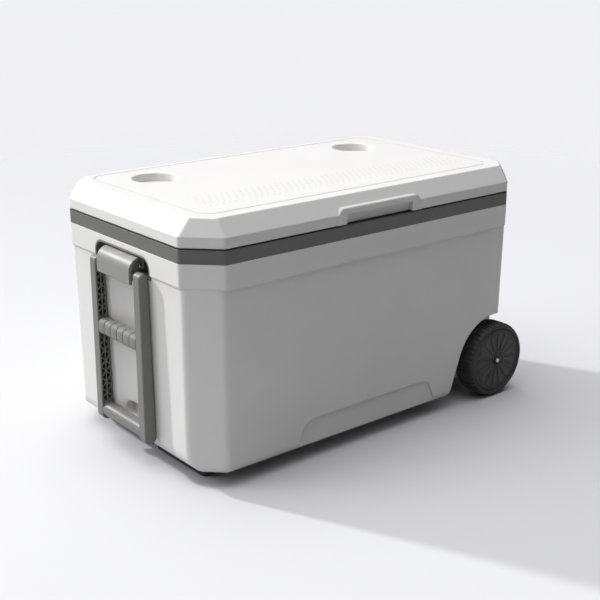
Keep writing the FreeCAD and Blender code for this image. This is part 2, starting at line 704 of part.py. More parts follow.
def lid_foam():
    low = LID_FOOT + WALL + FIT_GAP
    block = lid_block(WALL + FIT_GAP).cut(box((-FAR, -FAR, 0), (FAR, FAR, low)))
    plug = plug_block(WALL + FIT_GAP, PLUG_FOOT + WALL + FIT_GAP, low)
    foam = join([block, plug])
    cuts = cups(CUP_R + WALL + FIT_GAP, CUP_DEPTH + WALL + FIT_GAP) + [finger_recess(WALL + FIT_GAP)]
    return foam.cut(cuts + hinge_posts(0, LID_POST_TOP + FIT_GAP, FIT_GAP))


def lid_gasket():
    low, up = RIM_TOP + FIT_GAP, Vector(0, 0, SEAM - FIT_GAP)
    outside = prism(inset_outline(GASKET_OUT, low, 6.0), up)
    return outside.cut(prism(inset_outline(GASKET_OUT + GASKET_W, low, 3.0), up))


# ---------------------------------------------------------------- hinges
def knuckle(x0, x1, bore):
    return tube(KNUCKLE_R, (x0, HINGE_Y, HINGE_Z), (x1, HINGE_Y, HINGE_Z), bore)


def hinge_body_leaf(x):
    """Plate on the back of the tub, with a knuckle at each end."""
    top = HINGE_Z - KNUCKLE_R - FIT_GAP
    left, right = x - HINGE_HALF, x + HINGE_HALF
    corners = [(left, LEAF_FOOT), (right, LEAF_FOOT), (right, top), (left, top)]
    outline = rounded_wire([Vector(px, HINGE_Y, pz) for px, pz in corners], [LEAF_ROUND, LEAF_ROUND, 0, 0])
    pieces = [prism(outline, Vector(0, LEAF_T, 0))]
    for near, far in ((left, x - KNUCKLE_MID - FIT_GAP), (x + KNUCKLE_MID + FIT_GAP, right)):
        pieces.append(box((near, HINGE_Y, top), (far, HINGE_Y + LEAF_T, HINGE_Z)))
        pieces.append(knuckle(near, far, 0.0))
    leaf = join(pieces).cut(tube(HINGE_PIN_R, (x - FAR, HINGE_Y, HINGE_Z), (x + FAR, HINGE_Y, HINGE_Z)))
    return leaf.cut(holes_for(body_leaf_screws(), (0, 1, 0)))


def hinge_lid_leaf(x):
    """Plate over the lid's back edge and slope, with one knuckle in the middle."""
    lean = math.hypot(BEVEL_INSET, LID_BEVEL)
    up = Vector(0, -BEVEL_INSET / lean, LID_BEVEL / lean)
    out = Vector(0, LID_BEVEL / lean, BEVEL_INSET / lean)
    low = Vector(x - HINGE_HALF, HINGE_Y, HINGE_Z + KNUCKLE_R + FIT_GAP)
    corner = Vector(low.x, HINGE_Y, BEVEL_FOOT)
    outer_bend = Vector(low.x, HINGE_Y + LEAF_T, BEVEL_FOOT + LEAF_T * (1 - out.y) / out.z)
    tip = corner + up * LEAF_ON_BEVEL
    profile = [low, corner, tip, tip + out * LEAF_T, outer_bend, low + Vector(0, LEAF_T, 0)]
    plate = prism(rounded_wire(profile, [0, 0, 0, 1.5, 0, 0]), Vector(2 * HINGE_HALF, 0, 0))
    web = box((x - KNUCKLE_MID, HINGE_Y, HINGE_Z), (x + KNUCKLE_MID, HINGE_Y + LEAF_T, low.z))
    leaf = join([plate, web, knuckle(x - KNUCKLE_MID, x + KNUCKLE_MID, 0.0)])
    bore = tube(HINGE_PIN_R + RUN_FIT, (x - FAR, HINGE_Y, HINGE_Z), (x + FAR, HINGE_Y, HINGE_Z))
    return leaf.cut([bore] + holes_for(lid_leaf_screws(), (0, 1, 0), SHORT_SCREW_L))


def hinge_pin(x):
    reach = HINGE_HALF - 1.0
    return tube(HINGE_PIN_R, (x - reach, HINGE_Y, HINGE_Z), (x + reach, HINGE_Y, HINGE_Z))


# ---------------------------------------------------------------- carry hood and bracket
def handle_bracket():
    """Dark tray that lines the pocket in the end wall; its floor is open behind the hand."""
    tray = pocket_block(0.0).common(shell_block(0.0))
    inside = rounded_wire([Vector(-FAR, -POCKET_HALF + BRACKET_T, POCKET_FOOT + BRACKET_T),
                           Vector(-FAR, POCKET_HALF - BRACKET_T, POCKET_FOOT + BRACKET_T),
                           Vector(-FAR, POCKET_HALF - BRACKET_T, POCKET_TOP - BRACKET_T),
                           Vector(-FAR, -POCKET_HALF + BRACKET_T, POCKET_TOP - BRACKET_T)],
                          [POCKET_LOW_ROUND - 2.0] * 2 + [POCKET_ROUND - BRACKET_T] * 2)
    hollow = prism(inside, Vector(FAR + POCKET_BACK - BRACKET_T, 0, 0))
    floor_top = POCKET_FOOT + BRACKET_T
    way_out = box((-FAR, -CHANNEL_HALF, 0), (POCKET_BACK - BRACKET_T, CHANNEL_HALF, floor_top + 1.0))
    return tray.cut([hollow, way_out] + holes_for(hood_screw_points(), (-1, 0, 0)))


def carry_hood():
    """Hooked grip: a bent plate, a screwed foot, and two webs that hold the tow handle's pins."""
    back = POCKET_BACK - BRACKET_T
    inner_front, inner_top = HOOD_FRONT + HOOD_T, HOOD_TOP - HOOD_T
    bend = [Vector(HOOD_FRONT, -HOOD_HALF, HOOD_FOOT), Vector(HOOD_FRONT, -HOOD_HALF, HOOD_TOP),
            Vector(back, -HOOD_HALF, HOOD_TOP), Vector(back, -HOOD_HALF, inner_top),
            Vector(inner_front, -HOOD_HALF, inner_top), Vector(inner_front, -HOOD_HALF, HOOD_FOOT)]
    plate = prism(rounded_wire(bend, [2.4, HOOD_BEND, 0, 0, HOOD_BEND - HOOD_T, 2.4]),
                  Vector(0, 2 * HOOD_HALF, 0))
    plate = plate.cut(both_sides(box((HOOD_NECK, STEM_HALF, 0), (0, FAR, FAR))))
    foot = box((back - HOOD_T, -STEM_HALF, POCKET_FOOT + 6.0), (back, STEM_HALF, inner_top + 1.0))
    web_front, web_top = inner_front - 1.0, inner_top + 1.0
    corners = [(web_front, WEB_FOOT), (PIVOT_X + 7.0, WEB_FOOT),
               (PIVOT_X + 14.0, web_top), (web_front, web_top)]
    web = rounded_wire([Vector(x, -WEB_IN, z) for x, z in corners], [0, 4.0, 0, HOOD_BEND - HOOD_T])
    webs = both_sides(prism(web, Vector(0, -WEB_T, 0)))
    hood = join([plate, foot] + webs)
    pins = tube(PIN_R, (PIVOT_X, -FAR, PIVOT_Z), (PIVOT_X, FAR, PIVOT_Z))
    return hood.cut([pins] + holes_for(hood_screw_points(), (-1, 0, 0)))


# ---------------------------------------------------------------- tow handle
def arm_outline(inset, y):
    """Side view of an arm: two circles joined by tangents, moved inwards by inset."""
    top, foot = Vector(PIVOT_X, y, PIVOT_Z), Vector(ARM_FOOT_X, y, ARM_FOOT_Z)
    top_r, foot_r = LUG_R - inset, ARM_FOOT_R - inset
    along = top - foot
    lean = math.atan2(along.z, along.x)
    spread = math.acos((foot_r - top_r) / along.Length)

    def at(centre, radius, angle):
        return Vector(centre.x + radius * math.cos(angle), y, centre.z + radius * math.sin(angle))

    right, left = lean - spread, lean + spread
    top_right, crown, top_left = at(top, top_r, right), at(top, top_r, lean), at(top, top_r, left)
    foot_left, foot_right = at(foot, foot_r, left), at(foot, foot_r, right)
    heel = at(foot, foot_r, lean + math.pi)
    edges = [Part.Arc(top_right, crown, top_left), Part.LineSegment(top_left, foot_left),
             Part.Arc(foot_left, heel, foot_right), Part.LineSegment(foot_right, top_right)]
    return Part.Wire([edge.toShape() for edge in edges])


def lattice(y):
    """Crossed ribs that stiffen the arm's open channel."""
    rows = int((PIVOT_Z - ARM_FOOT_Z) / LATTICE_PITCH) + 2
    reach, ribs = 40.0, []
    for row in range(-1, rows):
        for turn in (45.0, -45.0):
            rib = Part.makeBox(LATTICE_T, ARM_CHANNEL, 2 * reach, Vector(-LATTICE_T / 2, 0, -reach))
            rib.Placement = Placement(Vector(ARM_FOOT_X, y, ARM_FOOT_Z + row * LATTICE_PITCH),
                                      Rotation(Vector(0, 1, 0), turn))
            ribs.append(rib)
    half = LATTICE_T / 2
    return ribs + [box((ARM_FOOT_X - half, y, 0), (ARM_FOOT_X + half, y + ARM_CHANNEL, PIVOT_Z))]


def tow_arm():
    """Front arm: solid outer face, channel open towards the middle with a lattice inside."""
    arm = prism(arm_outline(0.0, -ARM_OUT), Vector(0, ARM_W, 0))
    arm = arm.makeFillet(2.4, [e for e in arm.Edges if abs(e.BoundBox.YMax + ARM_OUT) < 1e-3])
    arm = arm.makeFillet(0.8, [e for e in arm.Edges if abs(e.BoundBox.YMin + ARM_IN) < 1e-3])
    channel = prism(arm_outline(ARM_SKIN, -ARM_IN - ARM_CHANNEL), Vector(0, ARM_CHANNEL, 0))
    ribs = [rib.common(channel) for rib in lattice(-ARM_IN - ARM_CHANNEL)]
    solid_ends = [box((-FAR, -ARM_OUT, PIVOT_Z - LUG_R - 4.0), (FAR, -ARM_IN, FAR))]
    solid_ends += [box((-FAR, -ARM_OUT, z - high / 2 - END_BLOCK), (FAR, -ARM_IN, z + high / 2 + END_BLOCK))
                   for z, high in ((MID_Z, MID_H), (END_Z, END_H))]
    blocks = [channel.common(end) for end in solid_ends]
    arm = join([arm.cut(channel)] + ribs + blocks)
    mouth = box((-FAR, -ARM_IN - TENON - FIT_GAP, 0), (0, 0, FAR))
    sockets = [bar_core(z, -FAR, FIT_GAP / 3).common(mouth) for z in (MID_Z, END_Z)]
    pin = tube(PIN_R + RUN_FIT, (PIVOT_X, -ARM_OUT + PIN_BLIND - FIT_GAP, PIVOT_Z), (PIVOT_X, 0, PIVOT_Z))
    seats = [tube(HEAD_R + FIT_GAP, point, (0, point[1], point[2])) for point in tow_screw_points()]
    return arm.cut(sockets + [pin] + seats + holes_for(tow_screw_points(), (1, 0, 0)))


def tow_screw_points(side=-1):
    """Seats of the screws that hold the bars, sunk in the arm's back face."""
    points = []
    for z in (MID_Z, END_Z):
        share = (z - ARM_FOOT_Z) / (PIVOT_Z - ARM_FOOT_Z)
        back = (ARM_FOOT_X + ARM_FOOT_R) * (1 - share) + (PIVOT_X + LUG_R) * share
        points.append((back - HEAD_H - FIT_GAP, side * (ARM_IN + TENON / 2), z))
    return points


def bar_middle(z):
    return (MID_FRONT + MID_BACK) / 2 if z == MID_Z else (END_FRONT + END_BACK) / 2


def bar_core(z, start, slack):
    """Square tenon bar that runs from arm to arm at height z."""
    half, middle = TENON_HALF + slack, bar_middle(z)
    return box((middle - half, start, z - half), (middle + half, -start, z + half))


def bar_profile(front, back, z, height, y, radii):
    half = height / 2
    return rounded_wire([Vector(front, y, z - half), Vector(front, y, z + half),
                         Vector(back, y, z + half), Vector(back, y, z - half)], radii)


def tow_screw_holes():
    return [hole for side in (-1, 1) for hole in holes_for(tow_screw_points(side), (1, 0, 0))]


def tow_mid_bar():
    return bar_core(MID_Z, -ARM_IN - TENON, 0.0).cut(tow_screw_holes())


def tow_mid_grip():
    """Sleeve on the middle bar, moulded as a row of rounded pads with narrow grooves between."""
    reach = ARM_IN - FIT_GAP
    radii = [9.0, 9.0, 3.0, 3.0]
    sleeve = prism(bar_profile(MID_FRONT, MID_BACK, MID_Z, MID_H, -reach, radii), Vector(0, 2 * reach, 0))
    pitch = 2 * reach / MID_SEGMENTS
    low = bar_profile(MID_FRONT + MID_GROOVE, MID_BACK - MID_GROOVE, MID_Z, MID_H - 2 * MID_GROOVE, 0.0,
                      [r - MID_GROOVE for r in radii])
    grooves = []
    for i in range(1, MID_SEGMENTS):
        middle = -reach + i * pitch
        slab = box((-FAR, middle - MID_GROOVE / 2, 0), (0, middle + MID_GROOVE / 2, FAR))
        keep = moved(prism(low, Vector(0, 2 * MID_GROOVE, 0)), y=middle - MID_GROOVE)
        grooves.append(slab.cut(keep))
    return sleeve.cut(grooves + [bar_core(MID_Z, -FAR, 0.0)])


def tow_end_bar():
    reach = ARM_IN - FIT_GAP
    bar = prism(bar_profile(END_FRONT, END_BACK, END_Z, END_H, -reach, [10.5, 10.5, 6.0, 6.0]),
                Vector(0, 2 * reach, 0))
    return join([bar, bar_core(END_Z, -ARM_IN - TENON, 0.0)]).cut(tow_screw_holes())


def tow_pivot_pin():
    """Shoulder pin from the hood's web into the arm."""
    web_out = WEB_IN + WEB_T
    pin = tube(PIN_R, (PIVOT_X, -ARM_OUT + PIN_BLIND, PIVOT_Z), (PIVOT_X, -WEB_IN + 3.0, PIVOT_Z))
    collar = tube(PIN_COLLAR_R, (PIVOT_X, -ARM_IN + FIT_GAP, PIVOT_Z), (PIVOT_X, -web_out, PIVOT_Z))
    collar = collar.common(box((HOOD_FRONT + HOOD_T + FIT_GAP, -FAR, 0), (0, 0, FAR)))
    return pin.fuse(collar).removeSplitter()


def tow_pin_clip():
    return tube(PIN_R + CLIP_WALL, (PIVOT_X, -WEB_IN, PIVOT_Z), (PIVOT_X, -WEB_IN + CLIP_T, PIVOT_Z), PIN_R)


# ---------------------------------------------------------------- wheels
def revolved(points, radius=0.0):
    """Ring about the wheel axis from (radius, y) points."""
    wire = rounded_wire([Vector(WHEEL_X, y, WHEEL_R + r) for r, y in points], radius)
    return Part.Face(wire).revolve(Vector(WHEEL_X, 0, WHEEL_R), Vector(0, 1, 0), 360)


def tyre():
    """Flat tread with round shoulders and upright side walls."""
    face, inner, wall_top = -WHEEL_FACE, -WHEEL_IN, WHEEL_R - 6.0
    points = [(HUB_R, face + 2.0), (HUB_R + 2.0, face), (wall_top, face), (WHEEL_R, face + 10.0),
              (WHEEL_R, inner - 10.0), (wall_top, inner), (HUB_R + 2.0, inner), (HUB_R, inner - 2.0)]
    return revolved(points, [0, 0, 4.0, 8.0, 8.0, 4.0, 0, 0])


def wheel_hub():
    """Moulded disc with a rim, a web, a boss and radial ribs."""
    face, inner = -WHEEL_FACE + HUB_INSET, -WHEEL_IN - HUB_INSET
    web_out, web_in = face + HUB_RECESS, face + HUB_RECESS + HUB_WEB
    rim_in, bore = HUB_R - HUB_RIM, BUSH_R
    points = [(bore, face), (HUB_BOSS_R, face), (HUB_BOSS_R, web_out), (rim_in, web_out), (rim_in, face),
              (HUB_R, face), (HUB_R, inner), (rim_in, inner), (rim_in, web_in), (HUB_BOSS_R, web_in),
              (HUB_BOSS_R, inner), (bore, inner)]
    disc = revolved(points)
    ribs = []
    outer_rib, inner_rib = (face + 1.2, web_out + 0.5, RIB_T / 2), (web_in - 0.5, inner - 3.0, RIB_T / 3)
    for i in range(RIB_COUNT):
        turn = Rotation(Vector(0, 1, 0), i * 360 / RIB_COUNT)
        for low, high, half in (outer_rib, inner_rib):
            rib = box((HUB_BOSS_R - 0.5, low, -half), (rim_in + 0.5, high, half))
            rib.Placement = Placement(Vector(WHEEL_X, 0, WHEEL_R), turn)
            ribs.append(rib)
    return join([disc] + ribs)


def wheel_bush():
    face, inner = -WHEEL_FACE + HUB_INSET, -WHEEL_IN - HUB_INSET
    return tube(BUSH_R, (WHEEL_X, face, WHEEL_R), (WHEEL_X, inner, WHEEL_R), AXLE_R + RUN_FIT)


def axle():
    rod = tube(AXLE_R, (WHEEL_X, -AXLE_END, WHEEL_R), (WHEEL_X, AXLE_END, WHEEL_R))
    return rod.makeFillet(AXLE_R / 3, rod.Edges[0:1] + rod.Edges[2:3])


def push_nut():
    """Spring cap pressed on the axle's end; it keeps the wheel on."""
    face = -WHEEL_FACE + HUB_INSET - FIT_GAP
    return tube(PUSH_NUT_R, (WHEEL_X, face - PUSH_NUT_T, WHEEL_R), (WHEEL_X, face, WHEEL_R), AXLE_R)


def axle_spacer():
    near = -WHEEL_IN - HUB_INSET + FIT_GAP
    return tube(SPACER_R, (WHEEL_X, near, WHEEL_R), (WHEEL_X, -WELL_DEEP, WHEEL_R), AXLE_R)


def axle_clamp():
    """Saddle screwed under the tub; its tongue holds the axle up in the groove."""
    low, high = -CLAMP_AT - CLAMP_L / 2, -CLAMP_AT + CLAMP_L / 2
    half = AXLE_R + RUN_FIT - 0.1
    foot = UNDERSIDE - CLAMP_PLATE
    plate = box((WHEEL_X - CLAMP_HALF_X, low, foot), (WHEEL_X + CLAMP_HALF_X, high, UNDERSIDE))
    tongue = box((WHEEL_X - half, low, foot), (WHEEL_X + half, high, WHEEL_R))
    rod = tube(AXLE_R, (WHEEL_X, -FAR, WHEEL_R), (WHEEL_X, FAR, WHEEL_R))
    clamp = join([plate, tongue]).cut(rod)
    clamp = max(clamp.Solids, key=lambda s: s.Volume)
    return clamp.cut(holes_for(clamp_screw_points(), (0, 0, -1)))


# ---------------------------------------------------------------- feet and drain
def skid_foot():
    low = rounded_wire([Vector(x, y, 0) for x, y in
                        ((FOOT_X, -FOOT_FAR), (FOOT_X + FOOT_W, -FOOT_FAR),
                         (FOOT_X + FOOT_W, -FOOT_NEAR), (FOOT_X, -FOOT_NEAR))], 7.0)
    foot = prism(low, Vector(0, 0, UNDERSIDE))
    foot = foot.makeFillet(2.0, level_edges(foot, 0.0))
    cuts = [tube(HEAD_R + 1.0, (x, y, -1), (x, y, z)) for x, y, z in foot_screw_points()]
    return foot.cut(cuts + holes_for(foot_screw_points(), (0, 0, -1), LONG_SCREW_L))


def drain_spout():
    """Flanged tube from the liner's floor to the outside of the end wall."""
    flange = tube(DRAIN_FLANGE_R, (DRAIN_BOSS_X, 0, DRAIN_Z), (DRAIN_BOSS_X + DRAIN_FLANGE_T, 0, DRAIN_Z))
    pipe = tube(DRAIN_R, (drain_inside() - NUT_T - 2.0, 0, DRAIN_Z), (drain_outside(), 0, DRAIN_Z))
    bore = tube(DRAIN_BORE, (0, 0, DRAIN_Z), (FAR, 0, DRAIN_Z))
    return join([flange, pipe]).cut(bore)


def drain_inside():
    """Where the liner's inner face meets the drain."""
    lean = math.tan(math.radians(LINER_DRAFT)) * (RIM_TOP - DRAIN_Z)
    return HALF_X - LINER_WALL_X - WALL - lean


def drain_outside():
    """Outer end of the spout, which the plug's knob seats on."""
    return DRAIN_BOSS_X + DRAIN_FLANGE_T + DRAIN_COLLAR


def drain_nut():
    lean = math.tan(math.radians(LINER_DRAFT)) * (DRAIN_R + NUT_WALL)
    face = drain_inside() - lean - FIT_GAP / 3
    return tube(DRAIN_R + NUT_WALL, (face - NUT_T, 0, DRAIN_Z), (face, 0, DRAIN_Z), DRAIN_R)


def drain_plug():
    """Knob with a finger bar, and a stem that carries the seal ring."""
    seat, tip = drain_outside() + FIT_GAP, drain_outside() + FIT_GAP + PLUG_T
    knob = tube(PLUG_R, (seat, 0, DRAIN_Z), (tip, 0, DRAIN_Z))
    knob = knob.makeFillet(1.8, [e for e in knob.Edges if abs(e.BoundBox.XMin - tip) < 1e-3])
    half_h = PLUG_R - 3.0
    grip = box((tip - 1.0, -3.0, DRAIN_Z - half_h), (tip + 4.0, 3.0, DRAIN_Z + half_h))
    stem = tube(DRAIN_BORE - 2 * FIT_GAP, (seat - PLUG_STEM, 0, DRAIN_Z), (seat, 0, DRAIN_Z))
    return join([knob, grip, stem]).cut(drain_seal())


def drain_seal():
    seat = drain_outside() - 15.0
    return tube(DRAIN_BORE - RUN_FIT, (seat, 0, DRAIN_Z), (seat + SEAL_W, 0, DRAIN_Z), DRAIN_BORE - SEAL_T)


# ---------------------------------------------------------------- assembly
def build():
    add("body_shell", body_shell())
    add("body_liner", body_liner())
    add("body_foam", body_foam())
    add("rim_band", rim_band())
    add("lid_shell", lid_shell())
    add("lid_liner", lid_liner())
    add("lid_foam", lid_foam())
    add("lid_gasket", lid_gasket())
    for side, x in zip(("left", "right"), hinge_centres()):
        add("hinge_body_leaf_" + side, hinge_body_leaf(x))
        add("hinge_lid_leaf_" + side, hinge_lid_leaf(x))
        add("hinge_pin_" + side, hinge_pin(x))
    add("hinge_body_screws", screws_at(body_leaf_screws(), (0, 1, 0)))
    add("hinge_lid_screws", screws_at(lid_leaf_screws(), (0, 1, 0), SHORT_SCREW_L))
    add("handle_bracket", handle_bracket())
    add("carry_hood", carry_hood())
    add("hood_screws", screws_at(hood_screw_points(), (-1, 0, 0)))
    add_pair("tow_arm", tow_arm())
    add("tow_mid_bar", tow_mid_bar())
    add("tow_mid_grip", tow_mid_grip())
    add("tow_end_bar", tow_end_bar())
    add_pair("tow_pivot_pin", tow_pivot_pin())
    add("tow_pin_clips", Part.makeCompound(both_sides(tow_pin_clip())))
    add("tow_screws", screws_at(tow_screw_points(-1) + tow_screw_points(1), (1, 0, 0)))
    add_pair("tyre", tyre())
    add_pair("wheel_hub", wheel_hub())
    add_pair("wheel_bush", wheel_bush())
    add_pair("push_nut", push_nut())
    add_pair("axle_spacer", axle_spacer())
    add("axle", axle())
    add_pair("axle_clamp", axle_clamp())
    add("clamp_screws", screws_at(clamp_screw_points(), (0, 0, -1)))
    add_pair("skid_foot", skid_foot())
    add("foot_screws", screws_at(foot_screw_points(), (0, 0, -1), LONG_SCREW_L))
    add("drain_spout", drain_spout())
    add("drain_nut", drain_nut())
    add("drain_plug", drain_plug())
    add("drain_seal", drain_seal())


def export():
    os.makedirs("parts", exist_ok=True)
    for name, shape in PARTS.items():
        low, high = shape.BoundBox.getPoint(0), shape.BoundBox.getPoint(6)
        corners = " ".join(f"{value:8.2f}" for value in (*low, *high))
        print(f"{name:24s} solids {len(shape.Solids):2d} valid {shape.isValid()} "
              f"cm3 {shape.Volume / 1000:9.1f} box {corners}")
        shape.exportStep("parts/" + name + ".step")


build()
export()
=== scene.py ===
import bmesh
import bpy
import math
from mathutils import Matrix, Vector


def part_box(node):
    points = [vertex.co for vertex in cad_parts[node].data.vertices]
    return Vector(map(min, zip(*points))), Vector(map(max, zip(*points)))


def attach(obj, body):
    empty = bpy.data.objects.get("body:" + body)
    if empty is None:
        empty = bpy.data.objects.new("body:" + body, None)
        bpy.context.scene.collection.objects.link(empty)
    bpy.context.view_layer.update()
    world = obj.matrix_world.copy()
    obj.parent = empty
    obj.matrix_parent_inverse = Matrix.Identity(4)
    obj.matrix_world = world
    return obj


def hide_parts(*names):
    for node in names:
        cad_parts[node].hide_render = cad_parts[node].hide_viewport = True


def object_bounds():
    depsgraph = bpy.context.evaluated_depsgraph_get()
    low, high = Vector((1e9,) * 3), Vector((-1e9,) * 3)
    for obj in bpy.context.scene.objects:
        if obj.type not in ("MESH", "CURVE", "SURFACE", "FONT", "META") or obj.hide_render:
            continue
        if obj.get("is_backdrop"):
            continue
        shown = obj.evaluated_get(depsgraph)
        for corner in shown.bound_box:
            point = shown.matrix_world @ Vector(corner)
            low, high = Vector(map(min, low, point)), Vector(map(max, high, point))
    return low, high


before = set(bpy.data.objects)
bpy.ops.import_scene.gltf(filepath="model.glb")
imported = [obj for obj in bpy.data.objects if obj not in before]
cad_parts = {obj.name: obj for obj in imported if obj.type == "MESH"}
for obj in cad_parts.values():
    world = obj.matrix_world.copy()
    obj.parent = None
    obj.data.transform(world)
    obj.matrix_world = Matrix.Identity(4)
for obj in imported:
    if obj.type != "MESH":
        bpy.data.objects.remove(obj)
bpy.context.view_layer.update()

# ---------------------------------------------------------------- tub: liner and foam
# The liner is one deep pan of white polystyrene, thermoformed over a polished tool: smooth and glossy.
# Polyurethane foam, poured between liner and shell, fills the wall. It hides inside, cream and full of cells.
MM = 0.001


def linear(hex_colour):
    """An sRGB hex colour as the linear values that a shader takes."""
    parts = [int(hex_colour[i:i + 2], 16) / 255 for i in (1, 3, 5)]
    return [c / 12.92 if c <= 0.04045 else ((c + 0.055) / 1.055) ** 2.4 for c in parts] + [1.0]


def put(tree, kind, inputs=None, **settings):
    """Adds a shader node. Each input is a value, or another node's output to link from."""
    made = tree.nodes.new("ShaderNode" + kind)
    for name, value in settings.items():
        setattr(made, name, value)
    for name, value in (inputs or {}).items():
        if isinstance(value, bpy.types.NodeSocket):
            tree.links.new(value, made.inputs[name])
        else:
            made.inputs[name].default_value = value
    return made


def blank_material(name):
    """A material with an empty node tree."""
    material = bpy.data.materials.new(name)
    material.use_nodes = True
    material.node_tree.nodes.clear()
    return material


def moulded_plastic(name, colours, roughness, grain, relief, edge=1.2 * MM):
    """Moulded plastic: two near tones in a soft mottle, wandering gloss, the tool's grain, rounded edges."""
    material = blank_material(name)
    tree = material.node_tree
    place = put(tree, "TexCoord").outputs["Object"]
    mottle = put(tree, "TexNoise", {"Vector": place, "Scale": 1 / (70 * MM), "Detail": 3.0})
    tone = put(tree, "Mix", {0: mottle.outputs["Fac"], 6: linear(colours[0]), 7: linear(colours[1])},
               data_type="RGBA")
    gloss = put(tree, "MapRange", {"Value": mottle.outputs["Fac"], "From Min": 0.3, "From Max": 0.7,
                                   "To Min": roughness - 0.04, "To Max": roughness + 0.04})
    grains = put(tree, "TexNoise", {"Vector": place, "Scale": 1 / grain, "Detail": 2.0, "Roughness": 0.6})
    edges = put(tree, "Bevel", {"Radius": edge}, samples=6)
    bump = put(tree, "Bump", {"Height": grains.outputs["Fac"], "Distance": relief, "Strength": 1.0,
                              "Normal": edges.outputs["Normal"]})
    shader = put(tree, "BsdfPrincipled", {
        "Base Color": tone.outputs[2], "Roughness": gloss.outputs["Result"],
        "Normal": bump.outputs["Normal"], "IOR": 1.5})
    put(tree, "OutputMaterial", {"Surface": shader.outputs["BSDF"]})
    return material


def finish(material, *names):
    """Gives CAD nodes their material."""
    for name in names:
        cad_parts[name].material_slots[0].material = material


def pored(name, colours, pore, depth, roughness):
    """Foam or rubber: cells or pores of one size, darker at their bottoms."""
    material = blank_material(name)
    tree = material.node_tree
    place = put(tree, "TexCoord").outputs["Object"]
    cells = put(tree, "TexVoronoi", {"Vector": place, "Scale": 1 / pore})
    tone = put(tree, "Mix", {0: cells.outputs["Distance"], 6: linear(colours[0]), 7: linear(colours[1])},
               data_type="RGBA")
    bump = put(tree, "Bump", {"Height": cells.outputs["Distance"], "Distance": depth, "Strength": 0.6})
    shader = put(tree, "BsdfPrincipled", {
        "Base Color": tone.outputs[2], "Roughness": roughness, "Normal": bump.outputs["Normal"], "IOR": 1.5})
    put(tree, "OutputMaterial", {"Surface": shader.outputs["BSDF"]})
    return material


# Thermoformed high-impact polystyrene: white, a wet-looking gloss with a long shallow ripple.
liner_plastic = moulded_plastic("thermoformed_polystyrene", ("#f3f3f0", "#ececea"), 0.24, 9 * MM, 0.06 * MM)
# Rigid polyurethane foam: cells of a millimetre or two that catch shade.
foam_fill = pored("rigid_polyurethane_foam", ("#e9dcae", "#d3c189"), 1.6 * MM, 0.5 * MM, 0.9)
finish(liner_plastic, "body_liner", "lid_liner")
finish(foam_fill, "body_foam", "lid_foam")

# ---------------------------------------------------------------- tub: shell
# The outer shell is one moulding of white polyethylene, with the wheel arches, the pocket and the hollow for
# the tow handle in it. Its tool is spark-eroded, which gives the walls a fine satin grain.
SATIN_GRAIN = 0.9 * MM    # drawn coarser than the real 0.1 mm, so that it shows
SATIN_RELIEF = 0.03 * MM

# Satin polyethylene: soft highlights on a fine grain, and wide soft edges.
shell_plastic = moulded_plastic("satin_polyethylene_white", ("#e9e8e6", "#e4e3e1"), 0.46,
                                SATIN_GRAIN, SATIN_RELIEF, edge=3.0 * MM)
finish(shell_plastic, "body_shell", "lid_shell")

# ---------------------------------------------------------------- tub: rim band
# A dark grey polypropylene channel caps the tub's top edge and closes the foam in. It is moulded in one piece
# and snaps over the shell.

# Satin polypropylene, coloured through: the shell's grain on a flat mid grey.
band_plastic = moulded_plastic("satin_polypropylene_grey", ("#6a6a68", "#646462"), 0.42,
                               SATIN_GRAIN, SATIN_RELIEF)
finish(band_plastic, "rim_band", "axle_clamp_front", "axle_clamp_rear")

# ---------------------------------------------------------------- feet
# Two skid feet of dark rubbery plastic are moulded hollow-soled and screwed under the handle end, which then
# stands level with the wheels.

# Thermoplastic rubber, moulded matte, with pores that hold dust.
foot_rubber = pored("matte_thermoplastic_rubber", ("#4b4b4a", "#3c3c3c"), 1.2 * MM, 0.1 * MM, 0.8)
FOOT_SLANT = 22 * MM          # how much shorter the sole is than the top, at the outer end
FOOT_CORNER = 7 * MM
FOOT_EDGE = 2.2 * MM
SOLE_RIM = 5 * MM             # the flat that stays round the sole's hollow
SOLE_WALL = 1 * MM
SOLE_DEPTH = 3 * MM


def piece(name, bm, material, body, replaces, sharp_above=32):
    """Turns a finished bmesh into a named piece that rides on a body and stands for CAD nodes."""
    bmesh.ops.remove_doubles(bm, verts=bm.verts, dist=1e-6)
    bmesh.ops.recalc_face_normals(bm, faces=bm.faces)
    mesh = bpy.data.meshes.new(name)
    bm.to_mesh(mesh)
    bm.free()
    mesh.shade_smooth()
    mesh.set_sharp_from_angle(angle=math.radians(sharp_above))
    mesh.materials.append(material)
    made = bpy.data.objects.new(name, mesh)
    bpy.context.scene.collection.objects.link(made)
    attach(made, body)
    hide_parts(*replaces)
    return made


